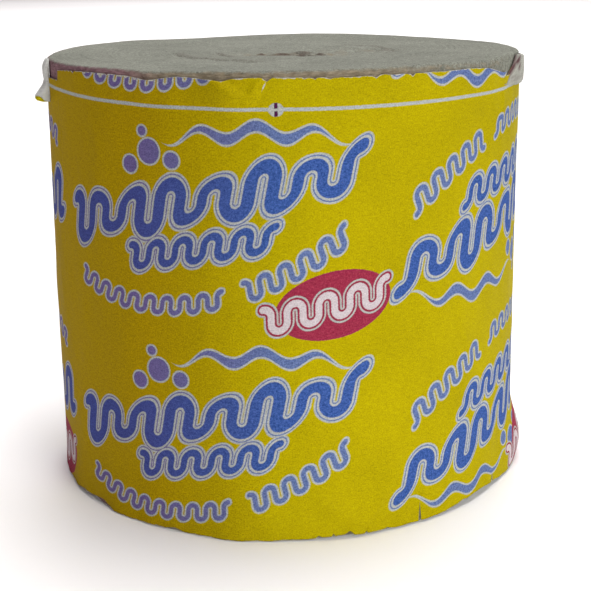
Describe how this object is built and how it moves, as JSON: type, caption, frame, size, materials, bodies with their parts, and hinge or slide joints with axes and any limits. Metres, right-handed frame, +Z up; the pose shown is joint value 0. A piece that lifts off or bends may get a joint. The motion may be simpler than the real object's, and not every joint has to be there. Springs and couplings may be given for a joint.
{
  "type": "toilet paper roll",
  "caption": "Coreless roll of grey recycled toilet paper standing on end, in a yellow printed paper wrapper with open ends, a torn edge and a turned-down corner.",
  "frame": {"origin": "centre of the end that the roll stands on", "axes": "+Z up along the winding axis, -Y towards the front, where the wrapper's registration mark is, +X to the right"},
  "size_m": [0.1021, 0.1001, 0.09],
  "materials": {
    "roll_paper": "soft, fibrous recycled tissue, matte",
    "wrapper_paper": "thin uncoated printed paper, matte"
  },
  "bodies": {
    "root": {"paper_roll": "roll_paper", "wrapper_band": "wrapper_paper"}
  },
  "joints": []
}
